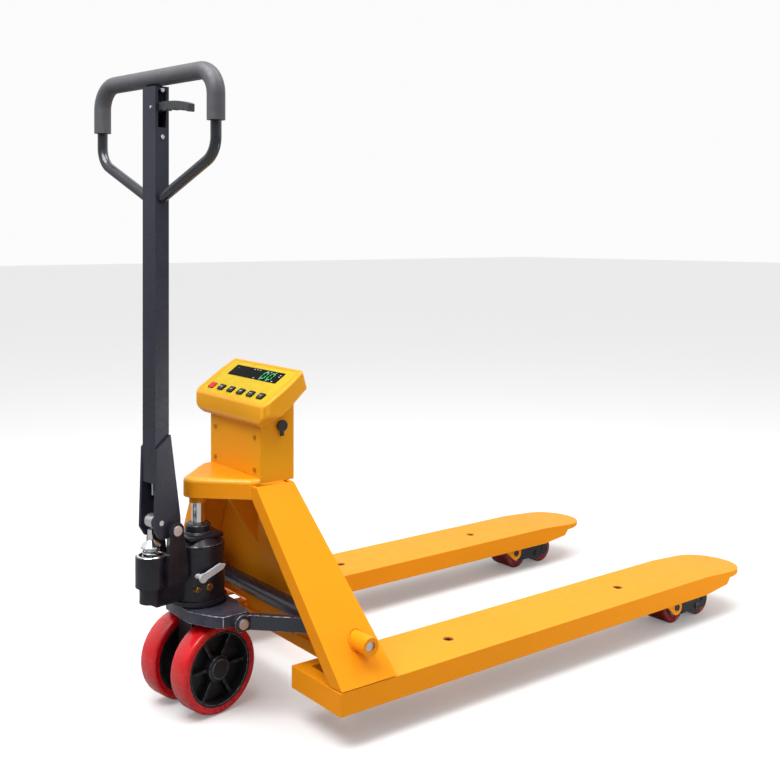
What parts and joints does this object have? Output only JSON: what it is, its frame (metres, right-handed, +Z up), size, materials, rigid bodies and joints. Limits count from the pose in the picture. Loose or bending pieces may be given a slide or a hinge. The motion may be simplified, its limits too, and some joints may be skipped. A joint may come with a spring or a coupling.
{
  "type": "pallet scale",
  "caption": "Hand pallet truck with a weighing platform on each fork, an indicator on a column, a tilting pump handle, steering wheels and lifting load rollers.",
  "frame": {"origin": "middle of the bounding box on the floor", "axes": "+X towards the fork tips, +Y to the operator's left, +Z up"},
  "size_m": [1.4662, 0.685, 1.2225],
  "materials": {
    "fork_paint": "bright orange-yellow enamel, lightly glossy",
    "column_paint": "amber powder coat, satin, fine orange peel",
    "panel_paint": "amber polyester overlay, matt",
    "window_tint": "black tinted window",
    "circuit_board": "green solder mask",
    "battery_case": "black moulded case",
    "key_red": "red silicone key",
    "key_black": "black silicone key",
    "socket_black": "black moulded socket",
    "cap_rubber": "black rubber",
    "pump_paint": "near-black enamel over casting",
    "plate_casting": "dark grey painted casting",
    "handle_paint": "dark blue-grey hammered enamel",
    "linkage_paint": "dark blue-grey enamel",
    "lever_paint": "black enamel",
    "grip_rubber": "charcoal rubber, fine pebble",
    "lever_plastic": "dark grey moulded lever",
    "chrome": "hard chrome",
    "zinc": "zinc plated",
    "brass": "brass and zinc screws",
    "black_oxide": "black oxide",
    "polyurethane_red": "cast red polyurethane",
    "hub_casting": "black painted casting"
  },
  "bodies": {
    "base": {"thrust_plate": "plate_casting", "thrust_bearing": "zinc"},
    "steering": {"pump_body": "pump_paint", "pump_head": "pump_paint", "axle_yoke": "pump_paint", "wheel_axle": "zinc", "handle_pin": "chrome", "pump_screws": "brass", "plunger_spring": "zinc"},
    "plunger": {"plunger": "chrome"},
    "release_lever": {"release_lever": "zinc"},
    "steer_wheel_left": {"steer_tyre_left": "polyurethane_red", "steer_hub_left": "hub_casting"},
    "steer_wheel_right": {"steer_tyre_right": "polyurethane_red", "steer_hub_right": "hub_casting"},
    "handle": {"handle_tube": "handle_paint", "handle_loop": "handle_paint", "handle_grip": "grip_rubber", "roller_pin": "zinc", "handle_bolts": "zinc"},
    "cam_roller": {"cam_roller": "zinc"},
    "control_lever": {"control_lever": "lever_plastic"},
    "release_rod": {"release_rod": "zinc"},
    "chassis": {"a_frame": "fork_paint", "gooseneck": "fork_paint", "piston_rod": "chrome", "inner_fork_left": "fork_paint", "inner_fork_right": "fork_paint", "platform_left": "fork_paint", "platform_right": "fork_paint", "load_cells": "zinc", "cell_bolts": "black_oxide", "column": "column_paint", "column_cover": "column_paint", "cover_screws": "zinc", "head_housing": "column_paint", "head_panel": "panel_paint", "display_window": "window_tint", "display_board": "circuit_board", "battery": "battery_case", "charging_port": "socket_black"},
    "port_cap": {"port_cap": "cap_rubber"},
    "rocker": {"rocker_arms": "linkage_paint", "rocker_shaft": "chrome"},
    "key_power": {"key_power": "key_red"},
    "key_two": {"key_two": "key_black"},
    "key_three": {"key_three": "key_black"},
    "key_four": {"key_four": "key_black"},
    "key_five": {"key_five": "key_black"},
    "key_six": {"key_six": "key_black"},
    "push_rod_left": {"push_rod_left": "linkage_paint"},
    "wheel_lever_left": {"wheel_lever_left": "lever_paint"},
    "bogie_left": {"bogie_left": "lever_paint"},
    "roller_back_left": {"roller_back_left": "polyurethane_red"},
    "roller_front_left": {"roller_front_left": "polyurethane_red"},
    "push_rod_right": {"push_rod_right": "linkage_paint"},
    "wheel_lever_right": {"wheel_lever_right": "lever_paint"},
    "bogie_right": {"bogie_right": "lever_paint"},
    "roller_back_right": {"roller_back_right": "polyurethane_red"},
    "roller_front_right": {"roller_front_right": "polyurethane_red"}
  },
  "joints": [
    {"name": "lift", "type": "slide", "parent": "base", "child": "chassis", "axis": [0, 0, 1], "range_m": [0, 0.06]},
    {"name": "steer", "type": "hinge", "parent": "base", "child": "steering", "pos_m": [-0.59188, 0, 0.178], "axis": [0, 0, 1], "range_deg": [-94, 76]},
    {"name": "steer_wheel_left_spin", "type": "hinge", "parent": "steering", "child": "steer_wheel_left", "pos_m": [-0.59954, 0.0484, 0.085], "axis": [-0.1564, 0.9877, 0], "continuous": true},
    {"name": "steer_wheel_right_spin", "type": "hinge", "parent": "steering", "child": "steer_wheel_right", "pos_m": [-0.58421, -0.0484, 0.085], "axis": [-0.1564, 0.9877, 0], "continuous": true},
    {"name": "handle_tilt", "type": "hinge", "parent": "steering", "child": "handle", "pos_m": [-0.66694, -0.01189, 0.357], "axis": [0.1564, -0.9877, 0], "range_deg": [0, 68], "stiffness_Nm_per_rad": 30, "springref_deg": -17.19},
    {"name": "plunger_stroke", "type": "slide", "parent": "steering", "child": "plunger", "axis": [0, 0, -1], "range_m": [0, 0.0352], "deforming": ["plunger_spring"]},
    {"name": "cam_roller_spin", "type": "hinge", "parent": "handle", "child": "cam_roller", "pos_m": [-0.69262, -0.01596, 0.374], "axis": [-0.1564, 0.9877, 0], "continuous": true},
    {"name": "control_lever_turn", "type": "hinge", "parent": "handle", "child": "control_lever", "pos_m": [-0.68674, -0.0211, 1.15], "axis": [0.9877, 0.1564, 0], "range_deg": [-13, 13], "stiffness_Nm_per_rad": 2},
    {"name": "release_rod_slide", "type": "slide", "parent": "handle", "child": "release_rod", "axis": [0, 0, 1], "range_m": [-0.0037, 0.0037]},
    {"name": "release_lever_turn", "type": "hinge", "parent": "steering", "child": "release_lever", "pos_m": [-0.62151, -0.00469, 0.262], "axis": [-0.1564, 0.9877, 0], "range_deg": [-14, 14]},
    {"name": "port_cap_swing", "type": "hinge", "parent": "chassis", "child": "port_cap", "pos_m": [-0.46376, -0.1032, 0.52214], "axis": [1, 0, 0], "range_deg": [0, 110]},
    {"name": "key_power_press", "type": "slide", "parent": "chassis", "child": "key_power", "axis": [0.5547, 0, -0.832], "range_m": [0, 0.001], "stiffness_N_per_m": 600, "springref_m": -0.0008},
    {"name": "key_two_press", "type": "slide", "parent": "chassis", "child": "key_two", "axis": [0.5547, 0, -0.832], "range_m": [0, 0.001], "stiffness_N_per_m": 600, "springref_m": -0.0008},
    {"name": "key_three_press", "type": "slide", "parent": "chassis", "child": "key_three", "axis": [0.5547, 0, -0.832], "range_m": [0, 0.001], "stiffness_N_per_m": 600, "springref_m": -0.0008},
    {"name": "key_four_press", "type": "slide", "parent": "chassis", "child": "key_four", "axis": [0.5547, 0, -0.832], "range_m": [0, 0.001], "stiffness_N_per_m": 600, "springref_m": -0.0008},
    {"name": "key_five_press", "type": "slide", "parent": "chassis", "child": "key_five", "axis": [0.5547, 0, -0.832], "range_m": [0, 0.001], "stiffness_N_per_m": 600, "springref_m": -0.0008},
    {"name": "key_six_press", "type": "slide", "parent": "chassis", "child": "key_six", "axis": [0.5547, 0, -0.832], "range_m": [0, 0.001], "stiffness_N_per_m": 600, "springref_m": -0.0008},
    {"name": "rocker_turn", "type": "hinge", "parent": "chassis", "child": "rocker", "pos_m": [-0.42388, 0, 0.172], "axis": [0, -1, 0], "range_deg": [0, 24.89]},
    {"name": "push_rod_left_slide", "type": "slide", "parent": "chassis", "child": "push_rod_left", "axis": [1, 0, 0], "range_m": [0, 0.0328]},
    {"name": "wheel_lever_left_turn", "type": "hinge", "parent": "chassis", "child": "wheel_lever_left", "pos_m": [0.45312, 0.2625, 0.056], "axis": [0, 1, 0], "range_deg": [0, 50.56]},
    {"name": "bogie_left_turn", "type": "hinge", "parent": "wheel_lever_left", "child": "bogie_left", "pos_m": [0.53912, 0.2625, 0.039], "axis": [0, 1, 0], "range_deg": [-50.56, 0]},
    {"name": "roller_back_left_spin", "type": "hinge", "parent": "bogie_left", "child": "roller_back_left", "pos_m": [0.49212, 0.2625, 0.037], "axis": [0, 1, 0], "continuous": true},
    {"name": "roller_front_left_spin", "type": "hinge", "parent": "bogie_left", "child": "roller_front_left", "pos_m": [0.58612, 0.2625, 0.037], "axis": [0, 1, 0], "continuous": true},
    {"name": "push_rod_right_slide", "type": "slide", "parent": "chassis", "child": "push_rod_right", "axis": [1, 0, 0], "range_m": [0, 0.0328]},
    {"name": "wheel_lever_right_turn", "type": "hinge", "parent": "chassis", "child": "wheel_lever_right", "pos_m": [0.45312, -0.2625, 0.056], "axis": [0, 1, 0], "range_deg": [0, 50.56]},
    {"name": "bogie_right_turn", "type": "hinge", "parent": "wheel_lever_right", "child": "bogie_right", "pos_m": [0.53912, -0.2625, 0.039], "axis": [0, 1, 0], "range_deg": [-50.56, 0]},
    {"name": "roller_back_right_spin", "type": "hinge", "parent": "bogie_right", "child": "roller_back_right", "pos_m": [0.49212, -0.2625, 0.037], "axis": [0, 1, 0], "continuous": true},
    {"name": "roller_front_right_spin", "type": "hinge", "parent": "bogie_right", "child": "roller_front_right", "pos_m": [0.58612, -0.2625, 0.037], "axis": [0, 1, 0], "continuous": true}
  ],
  "couplings": [
    {"joint": "rocker_turn", "follows": "lift", "rad_per_m": 7.1828},
    {"joint": "plunger_stroke", "follows": "handle_tilt", "m_per_rad": 0.02927},
    {"joint": "release_rod_slide", "follows": "control_lever_turn", "m_per_rad": 0.015},
    {"joint": "release_lever_turn", "follows": "control_lever_turn", "ratio": 1},
    {"joint": "push_rod_left_slide", "follows": "lift", "ratio": 0.53795},
    {"joint": "wheel_lever_left_turn", "follows": "lift", "rad_per_m": 14.621},
    {"joint": "bogie_left_turn", "follows": "lift", "rad_per_m": -14.621},
    {"joint": "push_rod_right_slide", "follows": "lift", "ratio": 0.53795},
    {"joint": "wheel_lever_right_turn", "follows": "lift", "rad_per_m": 14.621},
    {"joint": "bogie_right_turn", "follows": "lift", "rad_per_m": -14.621}
  ]
}
